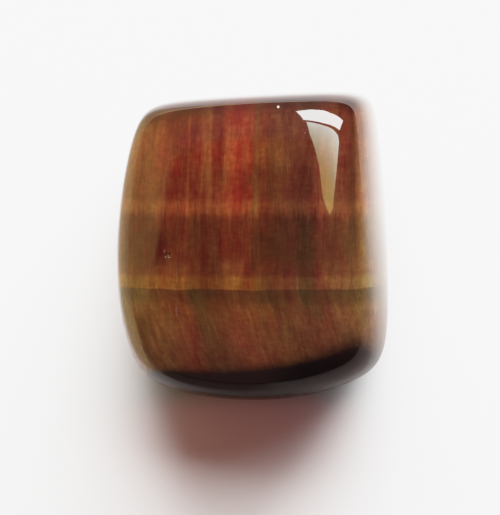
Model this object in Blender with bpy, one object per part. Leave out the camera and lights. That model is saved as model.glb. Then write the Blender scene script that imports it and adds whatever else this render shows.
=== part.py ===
"""A tumbled tiger's eye: one small polished stone, resting on its underside.

The stone began as a squarish block. Each of its ground faces is gently domed, and tumbling has
blended these faces into one another, tightly or softly, round the rim and the corners.
Metres, +Z up, +Y along the stone's longer side, which is also the way its fibres run.
"""

import math

import bmesh
import bpy
from mathutils import Vector

MM = 0.001

# Driving dimensions, in millimetres and degrees
REST_CUT = 0.12         # how much of the domed underside is worn away to the flat it rests on
GRID_CUTS = 23          # cuts across each side of the starting cube
GRID_CROWDING = 0.22    # how far the grid's lines are drawn towards the rim, 0 for not at all
BLOCK_HALF = (8.0, 9.4, 5.2)

# Each ground face: the way it faces, in degrees round from +X and up from level, then its
# distance from the stone's heart, the radius of its dome along the face, and that up and down it
SIDE_FACES = (
    (2.3, 14.5, 7.55, 120.0, 20.0),     # right side, leaning back
    (93.5, 13.0, 8.2, 120.0, 38.0),     # far end, leaning back
    (175.0, -5.0, 8.0, 28.0, 45.0),     # left side, the most domed
    (267.5, -10.0, 9.9, 27.0, 55.0),    # near end, leaning out over its foot
    (299.5, 0.0, 10.9, 30.0, 30.0),     # near right corner, ground off
    (208.5, 0.0, 10.9, 30.0, 30.0),     # near left corner, ground off
)
TOP_FACE = (135.0, 86.0, 5.4, 33.0, 33.0)
UNDERSIDE = (0.0, -90.0, 5.2, 45.0, 45.0)

# How tight the blends are: the higher the number, the smaller the rounding
CORNER_TIGHTNESS = 14.0
RIM_TIGHTNESS = {"right": 12.5, "far": 16.0, "left": 6.5, "near": 6.5}

STONE_COLOUR = (0.16, 0.045, 0.022, 1.0)
STONE_ROUGHNESS = 0.12


def facing(round_deg, up_deg):
    """The unit vector that points round_deg round from +X and up_deg above level."""
    a, e = math.radians(round_deg), math.radians(up_deg)
    return Vector((math.cos(a) * math.cos(e), math.sin(a) * math.cos(e), math.sin(e)))


def reach(ray, face):
    """How far a ray from the heart travels before it meets one domed face."""
    round_deg, up_deg, distance, dome_along, dome_up = face
    outward = facing(round_deg, up_deg)
    along = facing(round_deg + 90.0, 0.0)
    head_on = ray.dot(outward)
    bend = ray.dot(along) ** 2 / dome_along + ray.dot(outward.cross(along)) ** 2 / dome_up
    return 2.0 * distance / (head_on + math.sqrt(head_on * head_on + 2.0 * bend * distance))


def blend(lengths, tightness):
    """The shortest of the lengths, eased over where two or more are nearly the same."""
    return sum(length ** -tightness for length in lengths) ** (-1.0 / tightness)


def rim_tightness(ray):
    """The rim's tightness in the ray's direction, mixed from those of the four sides."""
    level = Vector((ray.x, ray.y))
    if level.length < 1e-9:
        return RIM_TIGHTNESS["far"]
    level.normalize()
    across = RIM_TIGHTNESS["right"] if level.x > 0 else RIM_TIGHTNESS["left"]
    along = RIM_TIGHTNESS["far"] if level.y > 0 else RIM_TIGHTNESS["near"]
    return across * level.x ** 2 + along * level.y ** 2


def stone_point(ray):
    """The point of the stone's skin that a unit ray from its heart meets."""
    side = blend([reach(ray, face) for face in SIDE_FACES], CORNER_TIGHTNESS)
    length = blend([side, reach(ray, TOP_FACE), reach(ray, UNDERSIDE)], rim_tightness(ray))
    return ray * length


def crowd(step):
    """Draws a grid line, at -1 to 1 across a side, towards the nearer rim."""
    return step * (1.0 + GRID_CROWDING * (1.0 - step * step))


def stone_mesh():
    """The whole stone as a closed mesh whose lowest point is the flat that it rests on."""
    bm = bmesh.new()
    bmesh.ops.create_cube(bm, size=2.0)
    bmesh.ops.subdivide_edges(bm, edges=bm.edges[:], cuts=GRID_CUTS, use_grid_fill=True)
    for vert in bm.verts:
        ray = Vector([crowd(step) * half for step, half in zip(vert.co, BLOCK_HALF)])
        vert.co = stone_point(ray.normalized())

    bottom = min(vert.co.z for vert in bm.verts) + REST_CUT
    whole = bm.verts[:] + bm.edges[:] + bm.faces[:]
    bmesh.ops.bisect_plane(bm, geom=whole, plane_co=(0.0, 0.0, bottom), plane_no=(0.0, 0.0, -1.0),
                           clear_outer=True)
    for vert in bm.verts:
        if vert.is_boundary:
            vert.co.z = bottom
    bmesh.ops.holes_fill(bm, edges=[edge for edge in bm.edges if edge.is_boundary], sides=0)

    low = [min(vert.co[i] for vert in bm.verts) for i in range(3)]
    high = [max(vert.co[i] for vert in bm.verts) for i in range(3)]
    middle = Vector(((low[0] + high[0]) / 2.0, (low[1] + high[1]) / 2.0, low[2]))
    bmesh.ops.translate(bm, verts=bm.verts[:], vec=-middle)
    bmesh.ops.scale(bm, verts=bm.verts[:], vec=(MM, MM, MM))
    bmesh.ops.recalc_face_normals(bm, faces=bm.faces[:])

    mesh = bpy.data.meshes.new("tigers_eye")
    bm.to_mesh(mesh)
    bm.free()
    mesh.shade_smooth()
    return mesh


def polished_stone():
    """The stone's plain stand-in finish: deep red-brown under a high polish."""
    material = bpy.data.materials.new("polished_tigers_eye")
    material.use_nodes = True
    shader = material.node_tree.nodes["Principled BSDF"]
    shader.inputs["Base Color"].default_value = STONE_COLOUR
    shader.inputs["Roughness"].default_value = STONE_ROUGHNESS
    shader.inputs["Metallic"].default_value = 0.0
    return material


for old in list(bpy.data.objects):
    bpy.data.objects.remove(old, do_unlink=True)

stone = bpy.data.objects.new("tigers_eye", stone_mesh())
stone.data.materials.append(polished_stone())
bpy.context.scene.collection.objects.link(stone)
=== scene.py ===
# %% [markdown]
# # A tumbled tiger's eye
#
# Tiger's eye is quartz that grew through a vein of fine parallel fibres. Cut and tumbled, it
# shows silky stripes along the fibres, brighter and duller bands across them, and over all of
# this a clear glassy polish. This lesson dresses one small stone, about 16 by 19 mm.
#
# The stone's true shape comes first, as a fixed frame that the rest is hung on.

import math

import bmesh
import bpy
from mathutils import Matrix, Vector
from mathutils import noise
from mathutils.bvhtree import BVHTree


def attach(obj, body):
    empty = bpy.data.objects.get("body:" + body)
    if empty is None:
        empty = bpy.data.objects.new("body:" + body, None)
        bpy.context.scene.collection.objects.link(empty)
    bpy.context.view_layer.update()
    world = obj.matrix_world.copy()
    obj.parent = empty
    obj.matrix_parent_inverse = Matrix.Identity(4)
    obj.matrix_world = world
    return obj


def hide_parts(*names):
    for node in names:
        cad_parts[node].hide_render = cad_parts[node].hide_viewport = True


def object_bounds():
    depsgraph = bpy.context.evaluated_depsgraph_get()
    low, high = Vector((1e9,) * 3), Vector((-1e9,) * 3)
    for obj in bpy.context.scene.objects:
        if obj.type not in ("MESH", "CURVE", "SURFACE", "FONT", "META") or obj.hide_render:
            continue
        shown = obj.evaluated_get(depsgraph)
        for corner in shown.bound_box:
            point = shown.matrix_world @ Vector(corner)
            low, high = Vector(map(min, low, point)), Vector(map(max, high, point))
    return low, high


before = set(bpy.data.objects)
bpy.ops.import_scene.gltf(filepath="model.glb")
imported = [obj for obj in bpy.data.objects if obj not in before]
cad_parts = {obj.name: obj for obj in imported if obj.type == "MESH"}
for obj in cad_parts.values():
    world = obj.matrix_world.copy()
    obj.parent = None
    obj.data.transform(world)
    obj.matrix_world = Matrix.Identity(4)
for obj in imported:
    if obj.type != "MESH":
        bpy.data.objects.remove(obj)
cad_low, cad_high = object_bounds()
MM = 0.001
print("stone, mm:", [round(size / MM, 2) for size in cad_high - cad_low])

# %% [markdown]
# ## The camera
#
# The stone was photographed from almost straight above, leaning 8 degrees towards the near side,
# through a lens that makes 1 mm on the ground 16.5 pixels of the picture. The frame is 500 by
# 515 pixels, so Blender measures the sensor along its height. The camera could be aimed at the
# stone's middle with a constraint, but then its turn would have to be read back. Here the
# camera's own right, up and forward directions are worked out and its place follows from them.

# %% Place the camera
IMAGE_HEIGHT_PX = 515
IMAGE_MIDDLE_PX = (250.0, 257.5)
STONE_ORIGIN_PX = (253.2, 254.3)
PX_PER_MM = 16.5
CAMERA_DISTANCE = 220 * MM
CAMERA_TILT = math.radians(8)
NEAREST_SEEN = 10 * MM
SENSOR = 36.0

up_the_picture = Vector((0, math.cos(CAMERA_TILT), math.sin(CAMERA_TILT)))
towards_camera = Vector((0, -math.sin(CAMERA_TILT), math.cos(CAMERA_TILT)))
aim_right = (IMAGE_MIDDLE_PX[0] - STONE_ORIGIN_PX[0]) / PX_PER_MM
aim_up = (STONE_ORIGIN_PX[1] - IMAGE_MIDDLE_PX[1]) / PX_PER_MM
aim = Vector((aim_right, 0, 0)) * MM + up_the_picture * aim_up * MM

camera_data = bpy.data.cameras.new("camera")
camera_data.sensor_width = SENSOR
camera_data.lens = SENSOR * PX_PER_MM * CAMERA_DISTANCE / MM / IMAGE_HEIGHT_PX
camera_data.clip_start = NEAREST_SEEN
camera = bpy.data.objects.new("camera", camera_data)
camera.location = aim + towards_camera * CAMERA_DISTANCE
camera.rotation_euler = (CAMERA_TILT, 0, 0)
bpy.context.scene.collection.objects.link(camera)
bpy.context.scene.camera = camera
print("lens, mm:", round(camera_data.lens, 1))

# %% [markdown]
# ## The polished skin
#
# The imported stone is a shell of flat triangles. On a mirror-bright stone each one would show.
# A Subdivision Surface over loose triangles leaves star-shaped dimples, so the skin is made
# again as an even net of squares: a cube is cut into a grid, each corner is sent out from the
# stone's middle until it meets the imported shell, and a few rounds of smoothing melt the edges
# between the flat triangles. The grid lines crowd towards the rim, where the stone turns most.

# %% Wrap an even net of squares round the stone
NET_CUTS = 47
NET_CROWDING = 0.22
SMOOTHING_ROUNDS = 6
MERGE_DISTANCE = MM / 1000
HEART = (cad_low + cad_high) / 2
HALF = (cad_high - cad_low) / 2


def packed_shell(node):
    """A tree for ray casting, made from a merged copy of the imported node's triangles."""
    shell = bmesh.new()
    shell.from_mesh(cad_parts[node].data)
    bmesh.ops.remove_doubles(shell, verts=shell.verts[:], dist=MERGE_DISTANCE)
    tree = BVHTree.FromBMesh(shell)
    shell.free()
    return tree


def crowd(step):
    """Moves a grid line, at -1 to 1 across the cube, towards the nearer rim."""
    return step * (1 + NET_CROWDING * (1 - step * step))


shell = packed_shell("tigers_eye")
skin = bmesh.new()
bmesh.ops.create_cube(skin, size=2)
bmesh.ops.subdivide_edges(skin, edges=skin.edges[:], cuts=NET_CUTS, use_grid_fill=True)
for vert in skin.verts:
    ray = Vector([crowd(step) * half for step, half in zip(vert.co, HALF)])
    vert.co = shell.ray_cast(HEART, ray)[0]
for _ in range(SMOOTHING_ROUNDS):
    bmesh.ops.smooth_vert(skin, verts=skin.verts[:], factor=0.5,
                          use_axis_x=True, use_axis_y=True, use_axis_z=True)
print("squares in the net:", len(skin.faces))

# %% [markdown]
# ## Hand-made unevenness and small chips
#
# No tumbled face is truly even. Slow waves a few thousandths of a millimetre deep are enough to
# make mirrored edges wander as they do on a real stone. A Displace modifier could add them, but
# moving each point along its normal is one short loop and leaves one modifier fewer. The few
# chips that tumbling left are real pits and not paint, because a pit catches the light from every
# side: the square of the net under each one is inset twice and its middle pushed in.

# %% Add slow waves and chips
WAVE_DEPTH = 0.003 * MM
WAVE_LENGTH = 2.6 * MM
CHIP_RIM = 0.05 * MM
CHIP_SLOPE = 0.03 * MM
CHIP_DEPTH = 0.05 * MM
CHIPS = {
    # the nearest place on the skin, in millimetres
    "left of the middle": (-5.1, -1.25, 9.9),
    "beside it": (-4.85, -1.5, 9.9),
    "right side": (8.0, -2.0, 4.0),
    "near end": (-2.0, -9.3, 5.0),
    "left side": (-8.0, 2.5, 4.5),
    "far end": (2.4, 9.3, 4.0),
}

skin.normal_update()
waves = {vert: noise.noise(vert.co / WAVE_LENGTH) * WAVE_DEPTH for vert in skin.verts}
for vert, height in waves.items():
    vert.co += vert.normal * height


def nearest_face(place):
    """The square of the net whose middle is nearest to a place in millimetres."""
    return min(skin.faces, key=lambda face: (face.calc_center_median() - Vector(place) * MM).length)


for place in CHIPS.values():
    chip = nearest_face(place)
    bmesh.ops.inset_individual(skin, faces=[chip], thickness=CHIP_RIM, use_even_offset=True)
    inward = -chip.normal.copy()
    bmesh.ops.inset_individual(skin, faces=[chip], thickness=CHIP_SLOPE, use_even_offset=True)
    for vert in chip.verts:
        vert.co += inward * CHIP_DEPTH
print("chips:", len(CHIPS))

# %% [markdown]
# ## Three readings of the skin
#
# Silk shines only where it is seen from the side. At the near end the kinked fibres run out of
# the skin, and one looks down into their dark ends; that end also faces away from the lights, so
# its dark is partly painted shade. The fibres lean towards the near right corner, so it is dark
# too, but a limit keeps the whole right wall from counting as an end. At the far rim the fibres
# only begin to turn in. Quartz is also a little clear, so light that enters the top comes out at
# the side walls; their brighter, more golden silk is painted light.
#
# What matters is how squarely the skin faces the near end, the far end and the sides. The shader
# could work this out from the normal. Stored on the net's points as attributes, the readings are
# part of the mesh, are worked out in plain Python, and take no nodes.

# %% Store the readings and finish the piece
FIBRES_RUN_OUT = Vector((0.38, -0.925, 0.0)).normalized()
CORNER_LIMIT = 0.42

skin.normal_update()
end_grain_and_shade = skin.verts.layers.float.new("end_grain_and_shade")
far_facing = skin.verts.layers.float.new("far_facing")
side_facing = skin.verts.layers.float.new("side_facing")
for vert in skin.verts:
    aside = min(vert.normal.x, CORNER_LIMIT)
    # facing the near end: dark fibre ends, and partly painted shade, as that end faces away from the
    # lights
    vert[end_grain_and_shade] = max(aside * FIBRES_RUN_OUT.x + vert.normal.y * FIBRES_RUN_OUT.y, 0.0)
    vert[far_facing] = vert.normal.y
    vert[side_facing] = abs(vert.normal.x)

stone_mesh = bpy.data.meshes.new("polished_stone")
skin.to_mesh(stone_mesh)
skin.free()
stone_mesh.shade_smooth()
stone = bpy.data.objects.new("polished_stone", stone_mesh)
bpy.context.scene.collection.objects.link(stone)
finer = stone.modifiers.new("finer", "SUBSURF")
finer.levels = 1
finer.render_levels = 1
print("points with readings:", len(stone_mesh.vertices))

# %% [markdown]
# ## Writing shader sums as Python
#
# The stone's pattern is worked out from each point's place in the stone. In the node editor
# that would be dozens of Math nodes joined by hand. A small class that wraps one output socket
# and answers to +, -, * and the rest lets the same network be written as plain sums.

# %% A socket that sums can be written on
class Wire:
    """One output of a shader node."""

    tree = None

    def __init__(self, socket):
        self.socket = socket

    @classmethod
    def node(cls, kind, settings, sockets, output=0):
        """Adds a node, sets its settings, then gives its sockets their values or links."""
        made = cls.tree.nodes.new(kind)
        for name, value in settings.items():
            setattr(made, name, value)
        for key, value in sockets.items():
            if isinstance(value, Wire):
                cls.tree.links.new(value.socket, made.inputs[key])
            else:
                made.inputs[key].default_value = value
        return cls(made.outputs[output])

    def sum(self, operation, *others):
        """A Math node whose first value is this one."""
        return Wire.node("ShaderNodeMath", {"operation": operation}, dict(enumerate((self, *others))))

    def __add__(self, other):
        return self.sum("ADD", other)

    def __sub__(self, other):
        return self.sum("SUBTRACT", other)

    def __rsub__(self, other):
        return Wire.node("ShaderNodeMath", {"operation": "SUBTRACT"}, {0: other, 1: self})

    def __mul__(self, other):
        return self.sum("MULTIPLY", other)

    def __truediv__(self, other):
        return self.sum("DIVIDE", other)

    def over(self, floor):
        """The value, or the floor where that is more."""
        return self.sum("MAXIMUM", floor)

    def step(self, start, end):
        """0 up to start, 1 from end on, and a smooth slope between."""
        return Wire.node("ShaderNodeMapRange", {"interpolation_type": "SMOOTHSTEP"},
                         {"Value": self, "From Min": start, "From Max": end})

    def between(self, low, high, soft_low, soft_high):
        """1 between low and high, with an edge of its own softness at each."""
        rising = self.step(low - soft_low, low + soft_low)
        return rising - self.step(high - soft_high, high + soft_high)

    __radd__ = __add__
    __rmul__ = __mul__


def triple(x, y, z):
    """Joins three values into one vector."""
    return Wire.node("ShaderNodeCombineXYZ", {}, {0: x, 1: y, 2: z})


def parts(vector):
    """The three values that a vector is made of."""
    return [Wire.node("ShaderNodeSeparateXYZ", {}, {0: vector}, axis) for axis in range(3)]


def own_place():
    """The point's place on its own object, in metres."""
    return Wire.node("ShaderNodeTexCoord", {}, {}, "Object")


def stored(name):
    """A reading that is stored on the mesh."""
    return Wire.node("ShaderNodeAttribute", {"attribute_name": name}, {}, "Fac")


def speckle(place, scale, detail=2.0):
    """Soft noise, about -0.3 to 0.3, whose patches are 1 / scale across."""
    sockets = {"Vector": place, "Scale": scale, "Detail": detail, "Roughness": 0.55}
    return Wire.node("ShaderNodeTexNoise", {}, sockets) - 0.5


def blend(amount, first, second):
    """Mixes two colours."""
    return Wire.node("ShaderNodeMix", {"data_type": "RGBA"}, {0: amount, 6: first, 7: second}, 2)


# %% [markdown]
# ## Fibres, stripes and bands
#
# A picture of the pattern would lie flat on the top and smear down the walls. A function of the
# place goes right through the stone, as the real stripes do. It is built from three readings of a
# point's place, in millimetres: `across` counts over the fibres, `along` follows them, and `depth`
# goes down into the stone. Stripes are functions of `across`, bands are functions of `along`, and
# both are carried through the depth, leaning and wandering a little. From a line near the stone's
# near end onwards the fibres are kinked by 14 degrees, so there `across` is sheared.

# %% Measure each point along and across the fibres
KINK_ALONG = -3.52
KINK_SOFTNESS = 0.05
KINK_SLOPE = math.tan(math.radians(14))
STRIPE_LEAN, STRIPE_WANDER = 0.15, 0.35
BAND_LEAN, BAND_WANDER = 0.2, 0.25
TOP_HEIGHT = 10.3

finish = bpy.data.materials.new("polished_tigers_eye")
finish.use_nodes = True
Wire.tree = finish.node_tree
shader = finish.node_tree.nodes["Principled BSDF"]

x, y, z = (metres / MM for metres in parts(own_place()))
depth = z - TOP_HEIGHT
stripe_drift = speckle(triple(x * 0.35, y * 0.12, z * 0.35), 1.0, 1.0)
band_drift = speckle(triple(x, y * 0.3, z), 0.5, 1.0)
along = y + depth * BAND_LEAN + band_drift * BAND_WANDER
kinked = (KINK_ALONG - along).over(0.0)
across = x - kinked * KINK_SLOPE + depth * STRIPE_LEAN + stripe_drift * STRIPE_WANDER
print("the fibres are kinked past, mm:", KINK_ALONG)

# %% [markdown]
# ### Fibre noise
#
# A Wave texture would give even lines. Noise that is stretched along the fibres reads as silk,
# because no two threads are alike. Its sizes are layered: hair-fine fibres, threads, bundles about
# half a millimetre wide, and slow patches. Ripples are stretched the other way, over the fibres,
# and a second set of patches, from another part of the noise, varies the colour alone. `ragged`
# is `along` pushed to and fro thread by thread, so an edge that is drawn with it frays.

# %% Layer the fibres, the ripples and the patches
FAR_OFF = 31.0
THREAD_RAG, HAIR_RAG = 1.4, 0.5

hair = speckle(triple(across, y * 0.1, z * 0.8), 11.0)
thread = speckle(triple(across, y * 0.09, z * 0.6), 3.6, 1.0)
bundle = speckle(triple(across, y * 0.1, z * 0.5), 1.7, 1.0)
patch = speckle(triple(across, y * 0.6, z * 0.7), 0.95)
ripple = speckle(triple(across * 0.5, along, z), 4.6)
mottle = speckle(triple(across + FAR_OFF, y * 0.6, z * 0.7), 1.3)
ragged = along + thread * THREAD_RAG + hair * HAIR_RAG
print("shader nodes for the fibres:", len(finish.node_tree.nodes))

# %% [markdown]
# ### Tone and gold
#
# A colour ramp over noise would put its streaks anywhere. This stone's stripes have places, so
# they are a list. Two numbers carry the colour: `tone` is how bright the silk is, and `gold` turns
# it from red, where iron oxide coats the fibres, through brown to old gold. Each stripe or band
# multiplies the tone and shifts the gold between its two edges. Each edge has a softness of its
# own, because some zones fade out fibre by fibre and others stop at a healed crack.

# %% Lay the stripes across the fibres
BASE_TONE = 0.086
BASE_GOLD = 0.14
FAR_PART = along.step(0.4, 1.2)
BELT = along.between(-2.4, 0.8, 0.4, 0.4)
BELOW = 1 - along.step(-3.6, -3.4)
FIRST_BAND = along.between(0.85, 1.6, 0.2, 0.2)
LOWER_BELT = along.between(-2.3, -0.2, 0.4, 0.3)
FAR_END = along.step(4.8, 6.0)
UNDER_KINK = along.between(-5.1, KINK_ALONG, 0.4, KINK_SOFTNESS)
NEAR_END = 1 - along.step(-6.2, -5.2)
WHOLE = 1.0

STRIPES = {
    # from, to and the softness of each edge in millimetres, tone, gold, where along the fibres
    # the left silk is partly painted light: lighter and more golden where that side gets less light
    "left silk": (-12.0, -5.6, 0.4, 0.7, 1.2, 0.24, 1 - BELT * 0.4),
    "single golden fibre": (-3.92, -3.76, 0.05, 0.05, 1.35, 0.14, FAR_PART),
    "golden stripe": (-3.1, -2.5, 0.08, 0.1, 1.22, 0.18, FAR_PART),
    "dark stripe": (-2.45, -1.8, 0.12, 0.1, 0.96, -0.02, FAR_PART),
    "maroon stripe": (-3.05, -1.9, 0.15, 0.2, 0.76, 0.02, 1 - FAR_PART),
    "orange edge": (-1.8, -1.25, 0.1, 0.25, 1.4, 0.03, FAR_PART),
    "red heart": (-1.25, -0.02, 0.25, 0.06, 1.32, -0.08, FAR_PART),
    "golden side of the heart": (-0.65, -0.02, 0.2, 0.05, 1.0, 0.06, FAR_PART),
    "warm middle": (-1.7, -0.35, 0.35, 0.35, 1.12, 0.0, 1 - FAR_PART),
    "olive stripe": (0.02, 0.3, 0.06, 0.12, 1.1, 0.2, FAR_PART),
    "olive shoulder": (0.0, 0.85, 0.1, 0.3, 0.92, 0.08, WHOLE),
    "brown shoulder": (0.85, 2.4, 0.3, 0.3, 0.7, 0.14, WHOLE),
    "dark shoulder": (2.4, 3.7, 0.3, 0.4, 0.64, 0.14, WHOLE),
    "right silk": (4.0, 12.0, 0.5, 0.5, 1.08, 0.24, WHOLE),
    "olive patch of the belt": (2.5, 3.4, 0.2, 0.2, 0.82, 0.14, BELT),
    "olive edge": (5.3, 12.0, 0.25, 0.5, 1.15, 0.22, 1 - FAR_PART),
    "maroon far corner": (-4.9, -3.2, 0.4, 0.2, 0.78, -0.12, FAR_END),
    "maroon by the right rim": (4.7, 5.5, 0.3, 0.25, 0.74, -0.14, along.step(2.8, 4.0)),
    "golden over the heart": (-2.1, -0.6, 0.2, 0.2, 1.0, 0.1, FIRST_BAND),
    "bright left of the band": (-12.0, -3.1, 0.3, 0.2, 1.12, 0.0, FIRST_BAND),
    "olive by the heart": (0.5, 2.4, 0.3, 0.3, 1.0, 0.13, along.between(3.6, 5.2, 0.4, 0.4)),
    "dark left of the belt": (-6.4, -5.2, 0.2, 0.3, 0.75, -0.04, LOWER_BELT),
    "dark middle of the belt": (0.0, 0.7, 0.15, 0.2, 0.82, 0.0, LOWER_BELT),
    "olive left of the belt": (-7.4, -6.5, 0.2, 0.2, 0.83, 0.2, LOWER_BELT),
    "olive fibre on the left": (-3.7, -3.05, 0.12, 0.12, 0.9, 0.14, 1 - FAR_PART),
    "left silk below": (-7.0, -4.7, 0.3, 0.6, 1.4, 0.08, BELOW),
    "left edge below": (-12.0, -7.0, 0.3, 0.3, 0.8, 0.0, BELOW),
    "olive patch below": (-3.9, -2.5, 0.3, 0.25, 0.58, 0.14, BELOW),
    "darker under the kink": (-3.6, -2.1, 0.2, 0.2, 0.55, 0.04, UNDER_KINK),
    "red fibres below": (-2.4, -1.4, 0.2, 0.3, 1.25, -0.02, NEAR_END),
    "dark patch below": (0.8, 3.7, 0.25, 0.3, 0.5, 0.05, UNDER_KINK),
    "golden middle below": (-1.4, 1.8, 0.4, 0.4, 1.0, 0.06, BELOW),
}


def lay(zones, reading, tone, gold):
    """Multiplies the tone and shifts the gold inside each stripe or band."""
    for start, end, soft_start, soft_end, gain, shift, where in zones.values():
        mask = reading.between(start, end, soft_start, soft_end) * where
        tone = tone * (1 + mask * (gain - 1))
        gold = gold + mask * shift
    return tone, gold


tone, gold = lay(STRIPES, across, BASE_TONE, BASE_GOLD)
print("stripes:", ", ".join(STRIPES))

# %% [markdown]
# ### Bands
#
# The dark belt has soft, ragged edges that run out fibre by fibre. The second gold band ends at
# the kink, which is a healed crack, so its near edge is sharp, the silk below it is dark, and
# the stripes from above are only faintly carried on. Bands could be turned stripes with a noise
# of their own, but the same list and the same function do for both.

# %% Lay the bands along the fibres
STRIPES_PAST_THE_KINK = 0.45

past_kink = 1 - along.step(KINK_ALONG - KINK_SOFTNESS, KINK_ALONG + KINK_SOFTNESS)
tone = BASE_TONE + (tone - BASE_TONE) * (1 - past_kink * (1 - STRIPES_PAST_THE_KINK))

RIGHT_OF_HEART = across.between(0.1, 5.2, 0.3, 0.7)
STREAK_COLUMNS = across.between(-5.8, -3.6, 0.15, 0.15) + across.between(-2.1, -0.4, 0.15, 0.2)
# the bright bands are golden colour, with the silk's shine across the fibres partly painted in as tone:
# painted sheen
BANDS = {
    # as for the stripes, but measured along the fibres and kept to a part across them
    "bright silk": (3.7, 5.3, 0.6, 0.3, 1.15, 0.0, WHOLE),
    "first gold band": (0.85, 1.62, 0.3, 0.25, 1.25, 0.08, WHOLE),
    "second gold band": (KINK_ALONG, -2.75, KINK_SOFTNESS, 0.2, 1.42, 0.2, WHOLE),
    "below the kink": (-12.0, KINK_ALONG, 0.1, KINK_SOFTNESS, 1.27, 0.19, WHOLE),
    "dark under the kink": (-4.3, KINK_ALONG, 0.5, KINK_SOFTNESS, 0.64, 0.05, WHOLE),
}
RAGGED_BANDS = {
    "dark patch by the heart": (1.9, 3.8, 0.4, 0.4, 0.8, 0.0, across.between(-0.6, 3.2, 0.3, 0.6)),
    "dark belt": (-2.1, 0.85, 0.7, 0.5, 0.78, 0.03, WHOLE),
    "belt on the right": (-1.7, 0.85, 0.5, 0.5, 0.84, 0.0, RIGHT_OF_HEART),
    "golden streaks": (-5.0, -1.9, 0.03, 0.5, 1.2, 0.17, STREAK_COLUMNS * (1 - past_kink)),
}
tone, gold = lay(BANDS, along, tone, gold)
tone, gold = lay(RAGGED_BANDS, ragged, tone, gold)
print("bands:", ", ".join((*BANDS, *RAGGED_BANDS)))

# %% [markdown]
# Inside the second gold band some columns stay dark, as no fibre there caught the gold. Last, the
# fibre noise is laid over everything, so the stripes and bands break up into silk.

# %% Leave dark columns in the second gold band and under it
IN_BAND = along.between(KINK_ALONG - 0.9, -2.6, 0.4, 0.3)
COLUMNS = {
    "left of the heart": (-2.1, -1.3, 0.15, 0.2, 0.85, 0.0, IN_BAND),
    "left edge": (-7.4, -6.5, 0.2, 0.2, 0.85, 0.14, IN_BAND),
    "right of the heart": (0.1, 1.0, 0.15, 0.2, 0.85, 0.1, IN_BAND),
    "middle gap": (1.2, 2.4, 0.25, 0.15, 1.0, -0.15, IN_BAND),
    "right gap": (2.55, 3.3, 0.12, 0.12, 0.8, 0.17, IN_BAND),
    "right part": (3.3, 5.2, 0.2, 0.3, 0.86, 0.0, IN_BAND),
    "right edge": (5.2, 12.0, 0.3, 0.5, 0.72, 0.02, IN_BAND),
}
FIBRE_SHARES = (
    # noise, its share in the tone and in the gold
    (hair, 0.7, 0.2),
    (thread, 0.55, 0.25),
    (bundle, 0.45, 0.3),
    (patch, 0.75, 0.0),
    (mottle, 0.0, 0.55),
    (ripple, 0.5, 0.25),
)

tone, gold = lay(COLUMNS, across, tone, gold)
for fibres, tone_share, gold_share in FIBRE_SHARES:
    tone = tone * (1 + fibres * tone_share)
    gold = gold + fibres * gold_share
print("columns:", ", ".join(COLUMNS))

# %% [markdown]
# ### Flecks, a painted glint and a scratch
#
# A few pale grains sit in the silk, and the top carries one short scratch. The brightest spot, on
# the far rim, is a painted glint that stands for a chip catching the window. Each could be a tiny
# piece of mesh, but a grain lies level with the polish, so it is painted: a small soft-edged
# ellipse, seen where the skin passes through it.

# %% Sprinkle the flecks
FLECK_EDGE = (0.4, 1.3)
FLECKS = {
    # place across and along, half width and half length in millimetres, strength
    # a painted glint, standing for a chip that catches the window
    "painted glint on the far rim": (1.45, 7.36, 0.07, 0.08, 0.45),
    "left of the middle": (-5.15, -1.2, 0.05, 0.1, 0.06),
    "beside it": (-4.92, -1.5, 0.05, 0.08, 0.05),
    "scratch": (-4.45, -4.7, 0.06, 0.36, 0.035),
    "right of the middle": (3.0, 5.73, 0.06, 0.07, 0.04),
}
ON_THE_TOP = z.step(6.0, 7.0)

fleck_and_glint = 0.0
for right, far, half_width, half_length, strength in FLECKS.values():
    aside, ahead = (x - right) / half_width, (y - far) / half_length
    fleck_and_glint = (1 - (aside * aside + ahead * ahead).step(*FLECK_EDGE)) * strength + fleck_and_glint
fleck_and_glint = fleck_and_glint * ON_THE_TOP
print("flecks:", len(FLECKS))

# %% [markdown]
# ## The colour of the silk
#
# Red, green and blue follow from tone and gold: gold adds green much faster than blue. Fibres
# that never rusted stay grey-blue, so a cool share is added to the blue on the right and at the
# near end, and taken away in the left part of the second gold band. A colour ramp could do the
# mixing, but sums keep the tone apart from the hue.
#
# The side walls are painted lighter and more golden than the top, as painted light, except at
# the near right corner. Painted shade keeps the skin from getting brighter where it faces the
# lights at the far end, as silk that is lit along its fibres doesn't, and darkens it where it
# rolls over the far rim and into the right wall.

# %% Turn tone and gold into colour
RED_GREEN, GOLD_GREEN = 0.09, 0.54
RED_BLUE, GOLD_BLUE = 0.042, 0.12
RIGHT_COOL, NEAR_COOL, BAND_COOL = 0.03, 0.03, 0.022
WALL_PAINTED_LIGHT_TONE, WALL_PAINTED_LIGHT_GOLD = 1.35, 0.22
FAR_RIM_SHADE_TONE, RIGHT_RIM_SHADE_TONE = 0.6, 0.6
DIMMEST_SHADED_TONE = 0.4

sideways = stored("side_facing")
towards_the_lights = stored("far_facing")
near_right_corner = x.step(0.0, 1.0) * (1 - along.step(-5.2, -4.2))
# painted light: the side walls are made lighter and more golden
wall = sideways.step(0.45, 0.8) * (1 - near_right_corner)
# painted shade: darker over the far rim and on the right rim
far_rim_shade = towards_the_lights.step(0.25, 0.52)
right_rim_shade = sideways.between(0.38, 0.57, 0.08, 0.05) * x.step(0.0, 1.0) * along.step(-2.0, 0.0)

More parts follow.
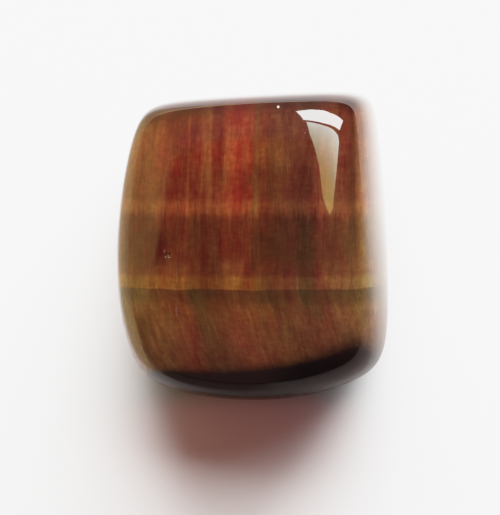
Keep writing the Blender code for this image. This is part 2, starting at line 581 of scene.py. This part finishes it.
# painted light on the side walls, and painted shade where the skin faces the lights
tone = tone * (1 + wall * (WALL_PAINTED_LIGHT_TONE - 1)) * (1 - towards_the_lights).over(DIMMEST_SHADED_TONE)
tone = tone * (1 - far_rim_shade * (1 - FAR_RIM_SHADE_TONE)) * (1 - right_rim_shade * (1 - RIGHT_RIM_SHADE_TONE))
gold = (gold + wall * WALL_PAINTED_LIGHT_GOLD).over(0.0)

second_band = along.between(KINK_ALONG, -2.75, KINK_SOFTNESS, 0.2)
left_of_second_band = second_band * (1 - across.step(0.0, 1.0))
cool = across.step(0.4, 2.6) * RIGHT_COOL + (1 - along.step(-7.0, -4.6)) * NEAR_COOL
cool = cool - left_of_second_band * BAND_COOL
green = tone * (RED_GREEN + gold * (GOLD_GREEN - RED_GREEN))
blue = tone * (RED_BLUE + gold * (GOLD_BLUE - RED_BLUE) + cool)
silk = Wire.node("ShaderNodeCombineColor", {}, {0: tone, 1: green, 2: blue})
print("plain silk, red to green:", round(1 / (RED_GREEN + BASE_GOLD * (GOLD_GREEN - RED_GREEN)), 1))

# %% [markdown]
# ### The dark ends of the fibres, partly painted shade
#
# Where the skin cuts across the fibres it swallows the light. The near end also faces away from the
# lights, so its near-black colour is partly painted shade. The dark sets in quickly at the middle
# of the near end, and softly at its right, where the fibres slant out of the skin. The flecks and
# the painted glint go on top.

# %% Darken the near end
# near-black fibre ends, partly painted shade on the end that faces away from the lights
END_GRAIN_AND_SHADE_COLOUR = (0.0035, 0.0035, 0.004, 1.0)
# pale grains, and the painted glint on the far rim
FLECK_AND_GLINT_COLOUR = (0.75, 0.68, 0.6, 1.0)
END_STARTS, END_IS_FULL = 0.345, 0.51
STARTS_SOONER, FULL_LATER = 0.095, 0.03
END_COVER, COVER_LOST = 0.97, 0.03

right_end = x.step(2.0, 5.5)
grain = stored("end_grain_and_shade")
end_grain_and_shade_mask = grain.step(END_STARTS - right_end * STARTS_SOONER, END_IS_FULL + right_end * FULL_LATER)
end_grain_and_shade_mask = end_grain_and_shade_mask * (END_COVER - right_end * COVER_LOST) * (1 - y.step(-6.4, -4.8))
colour = blend(fleck_and_glint, blend(end_grain_and_shade_mask, silk, END_GRAIN_AND_SHADE_COLOUR), FLECK_AND_GLINT_COLOUR)
print("shader nodes for the colour:", len(finish.node_tree.nodes))

# %% [markdown]
# ### The polish
#
# Light goes a little way into the clear quartz, meets the silk and comes back. Real transmission
# would need the whole bundle of fibres inside the stone. A clear coat with the refraction of
# quartz over a soft, slightly metallic silk looks the same from every side: the coat keeps its
# own smooth normal, while the silk under it has the fibres' bump.

# %% Wire the polish over the silk
QUARTZ_IOR = 1.54
POLISH_ROUGHNESS = 0.025
SILK_ROUGHNESS, BUNDLE_SMOOTHNESS = 0.62, 0.2
SILK_METAL = 0.15
BUMP_STRENGTH = 0.25
BUMP_HEIGHT = 0.02 * MM

bump_sockets = {"Strength": BUMP_STRENGTH, "Distance": BUMP_HEIGHT, "Height": hair}
silk_bump = Wire.node("ShaderNodeBump", {}, bump_sockets)
links = finish.node_tree.links
links.new(colour.socket, shader.inputs["Base Color"])
links.new((SILK_ROUGHNESS - bundle * BUNDLE_SMOOTHNESS).socket, shader.inputs["Roughness"])
links.new(((1 - end_grain_and_shade_mask) * SILK_METAL).socket, shader.inputs["Metallic"])
links.new(silk_bump.socket, shader.inputs["Normal"])
shader.inputs["IOR"].default_value = QUARTZ_IOR
shader.inputs["Specular IOR Level"].default_value = 0.0
shader.inputs["Coat Weight"].default_value = 1.0
shader.inputs["Coat Roughness"].default_value = POLISH_ROUGHNESS
shader.inputs["Coat IOR"].default_value = QUARTZ_IOR
stone.data.materials.append(finish)

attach(stone, "root")
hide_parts("tigers_eye")
print("shader nodes:", len(finish.node_tree.nodes))

# %% [markdown]
# ## The ground
#
# A plain pale sheet, large enough that its far edge is the horizon mirrored in the stone's rim.
# Far from the stone the lamps hardly reach it, and in a view from low down it would turn dark.
# A studio hides that with a curved backdrop, but a curved sheet would also show in the polish.
# So the sheet stays flat, and far out a camera ray alone sees the backdrop's own tone on it.

# %% Lay the ground
GROUND_SIZE = 3.0
GROUND_PALE = (0.9, 0.9, 0.9, 1.0)
BACKDROP = (1.1, 1.1, 1.1, 1.0)
BLACK = (0.0, 0.0, 0.0, 1.0)
MELTS_FROM_MM, MELTED_AT_MM = 60.0, 450.0


def level_sheet(name, width, height):
    """A square of the given width, level and centred under the stone, at a height."""
    sheet = bmesh.new()
    lift = Matrix.Translation((0, 0, height))
    bmesh.ops.create_grid(sheet, x_segments=1, y_segments=1, size=width / 2, matrix=lift)
    mesh = bpy.data.meshes.new(name)
    sheet.to_mesh(mesh)
    sheet.free()
    made = bpy.data.objects.new(name, mesh)
    bpy.context.scene.collection.objects.link(made)
    return made


def matt_material(name):
    """A new material without gloss; its nodes become the ones that sums are written in."""
    made = bpy.data.materials.new(name)
    made.use_nodes = True
    Wire.tree = made.node_tree
    surface = made.node_tree.nodes["Principled BSDF"]
    surface.inputs["Roughness"].default_value = 1.0
    surface.inputs["Specular IOR Level"].default_value = 0.0
    return made, surface


ground = level_sheet("ground", GROUND_SIZE, 0.0)
pale, pale_surface = matt_material("pale_ground")
from_stone = Wire.node("ShaderNodeVectorMath", {"operation": "LENGTH"}, {0: own_place()}, "Value") / MM
seen_directly = Wire.node("ShaderNodeLightPath", {}, {}, "Is Camera Ray")
melted = from_stone.step(MELTS_FROM_MM, MELTED_AT_MM) * seen_directly
pale.node_tree.links.new(blend(melted, GROUND_PALE, BLACK).socket, pale_surface.inputs["Base Color"])
pale.node_tree.links.new(blend(melted, BLACK, BACKDROP).socket, pale_surface.inputs["Emission Color"])
pale_surface.inputs["Emission Strength"].default_value = 1.0
ground.data.materials.append(pale)
print("ground, m:", GROUND_SIZE)

# %% [markdown]
# ## The film curve
#
# The picture is exposed for the dark stone, so its pale ground gets more than twice the light
# that white needs. Film and sensors don't clip there: they bend over and end just under white.
# Blender's own film-like views bend the highlights too, but they also grey the reds of the stone.
# So a curve with a shoulder is put before the plain sRGB view. Everything up to a middle grey
# passes as good as unchanged.

# %% Bend the highlights over
FILM_TOP = 0.945
FILM_KNEE = 3.6
FILM_WHITE = 4.0
FILM_STOPS = (0.3, 0.45, 0.6, 0.75, 0.9, 1.1, 1.4, 1.8, 2.5)


def film(light):
    """What the film shows for an amount of light, 1 being white without the shoulder."""
    return light / (1 + (light / FILM_TOP) ** FILM_KNEE) ** (1 / FILM_KNEE)


view = bpy.context.scene.view_settings
view.view_transform = "Standard"
view.use_curve_mapping = True
view.curve_mapping.white_level = (FILM_WHITE, FILM_WHITE, FILM_WHITE)
curve = view.curve_mapping.curves[3]
curve.points[1].location = (1.0, film(FILM_WHITE))
for light in FILM_STOPS:
    curve.points.new(light / FILM_WHITE, film(light))
view.curve_mapping.update()
print("brightest tone:", round(film(FILM_WHITE), 3))

# %% [markdown]
# ## Soft light
#
# Two large soft lights on the far side carry the scene: a low one just over the ground and one
# above it. Both are a little wider than they are far away, so the shadow is short and soft and
# narrows to the near side. A picture of a sky could light the stone as softly, but two rectangles
# are easier to steer. They aren't mirrored in the polish: it shows the window below.

# %% Hang the soft lights
def towards(azimuth, elevation):
    """The unit vector at an azimuth counted from +Y towards +X, and an elevation, in degrees."""
    a, e = math.radians(azimuth), math.radians(elevation)
    return Vector((math.sin(a) * math.cos(e), math.cos(a) * math.cos(e), math.sin(e)))


def spread(degrees, distance):
    """The width that fills so many degrees at a distance."""
    return 2 * distance * math.tan(math.radians(degrees / 2))


def soft_light(name, azimuth, elevation, width, height, distance, ground_light):
    """A rectangular light that sends the given light to level ground; angles in degrees."""
    light = bpy.data.lights.new(name, "AREA")
    light.shape = "RECTANGLE"
    light.size, light.size_y = spread(width, distance), spread(height, distance)
    light.energy = ground_light * math.pi * math.pi * distance ** 2 / math.sin(math.radians(elevation))
    lamp = bpy.data.objects.new(name, light)
    lamp.location = HEART + towards(azimuth, elevation) * distance
    lamp.rotation_euler = towards(azimuth, elevation).to_track_quat("Z", "Y").to_euler()
    lamp.visible_glossy = False
    bpy.context.scene.collection.objects.link(lamp)
    print(f"{name}: {light.size:.2f} by {light.size_y:.2f} m, {light.energy:.2f} W")


soft_light("low_light", azimuth=9.5, elevation=14, width=65, height=26, distance=0.3, ground_light=1.47)
soft_light("high_light", azimuth=12, elevation=50, width=56, height=36, distance=0.3, ground_light=1.28)

# %% [markdown]
# A little light goes in at the top of the stone, is reddened inside it and comes out at the near
# end, where it warms the shadow. The model's silk lets nothing through, so a red light just inside
# the near wall, facing the near side, stands for it. It is linked to the ground alone, so the
# stone neither takes its light nor blocks it.

# %% Warm the shadow
GLOW_PLACE = Vector((-0.8, -8.4, 6.4)) * MM
GLOW_SIZE = (12.0 * MM, 8.0 * MM)
FACING_THE_NEAR_SIDE = (math.radians(-90), 0, 0)
GLOW_POWER = 0.00029
GLOW_COLOUR = (1.0, 0.27, 0.26)

ground_only = bpy.data.collections.new("ground_only")
ground_only.objects.link(ground)
through = bpy.data.lights.new("light_through_the_stone", "AREA")
through.shape = "RECTANGLE"
through.size, through.size_y = GLOW_SIZE
through.energy = GLOW_POWER
through.color = GLOW_COLOUR
through_lamp = bpy.data.objects.new("light_through_the_stone", through)
through_lamp.location = GLOW_PLACE
through_lamp.rotation_euler = FACING_THE_NEAR_SIDE
through_lamp.visible_glossy = False
through_lamp.light_linking.receiver_collection = ground_only
through_lamp.light_linking.blocker_collection = ground_only
bpy.context.scene.collection.objects.link(through_lamp)
print("light through the stone, mW:", GLOW_POWER * 1000)

# %% [markdown]
# ## The window in the polish
#
# What the polish shows is one window, up and to the far right: a row of bright panes, a thin
# bar, and above it a dimmer part that narrows upwards and turns golden. A lamp could be mirrored
# instead, but it is only ever a rectangle or a disc. Each part is a glowing card whose outline is
# a short list of directions. The cards show only as mirror images and light nothing.

# %% Hang the window
WINDOW_DISTANCE = 0.45
PANES = [(4.5, 36.5), (8, 33), (13, 34), (19, 37.4), (28, 38.2), (38.3, 37.4),
         (37.3, 45.4), (28, 47.6), (18, 48.6), (8.6, 47.7)]
PANES_GLOW = (20.0, 21.0, 21.0, 1.0)
UPPER_PART = [(10, 49.2), (18, 50), (28, 49.4), (37, 48.4), (40.5, 49.2), (42.9, 53.2), (45.3, 56.6),
              (48.5, 60.8), (52.5, 64), (52, 66.8), (46, 67.6), (37, 67.3), (30, 65), (24.5, 62.5),
              (19.5, 60), (13.5, 55.5)]
UPPER_LOW_GLOW = (12.5, 15.0, 14.5, 1.0)
UPPER_HIGH_GLOW = (3.9, 3.7, 1.2, 1.0)
FADE_POWER = 0.6


def window_card(name, outline, low_glow, high_glow):
    """A glowing card with its corners in the outline's directions, fading from low to high."""
    card = bmesh.new()
    card.faces.new([card.verts.new(HEART + towards(*corner) * WINDOW_DISTANCE) for corner in outline])
    mesh = bpy.data.meshes.new(name)
    card.to_mesh(mesh)
    card.free()
    made = bpy.data.objects.new(name, mesh)
    bpy.context.scene.collection.objects.link(made)
    made.visible_camera = False
    made.visible_diffuse = False

    glow = bpy.data.materials.new(name)
    glow.use_nodes = True
    Wire.tree = glow.node_tree
    glow.node_tree.nodes.remove(glow.node_tree.nodes["Principled BSDF"])
    heights = [math.sin(math.radians(elevation)) * WINDOW_DISTANCE for _, elevation in outline]
    fading = parts(own_place())[2].step(min(heights), max(heights)).sum("POWER", FADE_POWER)
    emission = Wire.node("ShaderNodeEmission", {}, {"Color": blend(fading, low_glow, high_glow)})
    glow.node_tree.links.new(emission.socket, glow.node_tree.nodes["Material Output"].inputs["Surface"])
    made.data.materials.append(glow)
    print(f"{name}: {len(outline)} corners")


window_card("window_panes", PANES, PANES_GLOW, PANES_GLOW)
window_card("window_upper_part", UPPER_PART, UPPER_LOW_GLOW, UPPER_HIGH_GLOW)

# %% [markdown]
# ## The shade around
#
# The stone lies in a pool of window light. The polish mirrors the ground far beyond the picture,
# and there it is shaded: dark and reddish in front, past the stone's own shadow, warm to the
# left, and dimming slowly to the right and far away. Painting this on the ground itself would
# change the light that the ground throws back. So a sheet just above it stands for the shade:
# only mirror images see it, and its opacity follows the place.

# %% Lay the shade
SHADE_SIZE = 2.8
SHADE_HEIGHT = 0.3 * MM
SHADE_COLOUR = (0.14, 0.09, 0.088, 1.0)
WARM_LEFT_SHADE_COLOUR = (0.42, 0.34, 0.09, 1.0)
LEFT_COVER, NEAR_RIGHT_COVER, RIGHT_COVER, FAR_COVER = 0.75, 0.85, 0.3, 0.5
LESS_IN_FRONT_OF_THE_STONE = 0.28

shade = level_sheet("shade", SHADE_SIZE, SHADE_HEIGHT)
shade.visible_camera = False
shade.visible_diffuse = False
shade.visible_shadow = False

dark, dark_surface = matt_material("shade")
right_mm, far_mm = (metres / MM for metres in parts(own_place())[:2])
in_front = (1 - far_mm.step(-22.0, -16.0)) * (1 - (right_mm + far_mm * 0.3).step(2.0, 7.0))
before_the_stone = (right_mm + far_mm * 0.05).step(-3.0, 8.0)
in_front = in_front * (1 - before_the_stone * LESS_IN_FRONT_OF_THE_STONE)
to_the_left = 1 - right_mm.step(-14.0, -9.0)
to_the_near_right = (right_mm - far_mm * 2.0).step(0.0, 36.0)
to_the_right = right_mm.step(8.0, 24.0)
far_away = far_mm.step(25.0, 90.0)
cover = in_front.over(to_the_left * LEFT_COVER).over(to_the_near_right * NEAR_RIGHT_COVER)
cover = cover.over(to_the_right * RIGHT_COVER).over(far_away * FAR_COVER)

side_colour = blend(right_mm.step(-16.0, -9.0), WARM_LEFT_SHADE_COLOUR, SHADE_COLOUR)
shade_colour = blend(in_front, side_colour, SHADE_COLOUR)
dark.node_tree.links.new(shade_colour.socket, dark_surface.inputs["Base Color"])
dark.node_tree.links.new(cover.socket, dark_surface.inputs["Alpha"])
shade.data.materials.append(dark)
print("shade, mm above the ground:", SHADE_HEIGHT / MM)

# %% [markdown]
# ## The surroundings
#
# What the rims mirror above the ground is only ever seen bent and dim, so no panorama picture is
# needed. The world's own light is written as a function of direction: a warm wall to the left
# that faces the window, a dimmer one at the far side, and a near side that is dim and reddish to
# the left and almost black to the right. Only a share of this light falls on the stone and the
# ground. A camera ray that passes the ground's edge sees a plain pale backdrop instead, so views
# from low down stay bright.

# %% Light the surroundings
DIM = (0.12, 0.12, 0.12, 1.0)
LEFT_WALL_COLOUR = (1.05, 0.72, 0.32, 1.0)
FAR_WALL_COLOUR = (0.65, 0.42, 0.38, 1.0)
NEAR_LEFT_DARK = (0.25, 0.12, 0.12, 1.0)
NEAR_RIGHT_DARK = (0.04, 0.03, 0.04, 1.0)
SHARE_OF_LIGHT = 0.35
LEFT_WALL = towards(-58.5, 12)

world = bpy.data.worlds.new("surroundings")
bpy.context.scene.world = world
world.use_nodes = True
Wire.tree = world.node_tree
east, north, height = parts(Wire.node("ShaderNodeTexCoord", {}, {}, "Generated"))
left_wall = (east * LEFT_WALL.x + north * LEFT_WALL.y + height * LEFT_WALL.z).step(0.7, 0.76)
far_wall = (north - height * 0.62).step(-0.06, 0.1) * (0.35 - east).step(0.0, 0.2)
near_side = (0 - north - height * 0.1).step(0.0, 0.5)
walls = blend(left_wall, blend(far_wall, DIM, FAR_WALL_COLOUR), LEFT_WALL_COLOUR)
near_dark = blend(east.step(-0.05, 0.22), NEAR_LEFT_DARK, NEAR_RIGHT_DARK)
mirrored = blend(near_side, walls, near_dark)

lighting = Wire.node("ShaderNodeLightPath", {}, {}, "Is Diffuse Ray")
seen = Wire.node("ShaderNodeLightPath", {}, {}, "Is Camera Ray")
background = world.node_tree.nodes["Background"]
world.node_tree.links.new(blend(seen, mirrored, BACKDROP).socket, background.inputs["Color"])
strength = 1 - lighting * (1 - SHARE_OF_LIGHT)
world.node_tree.links.new(strength.socket, background.inputs["Strength"])
print("world nodes:", len(world.node_tree.nodes))
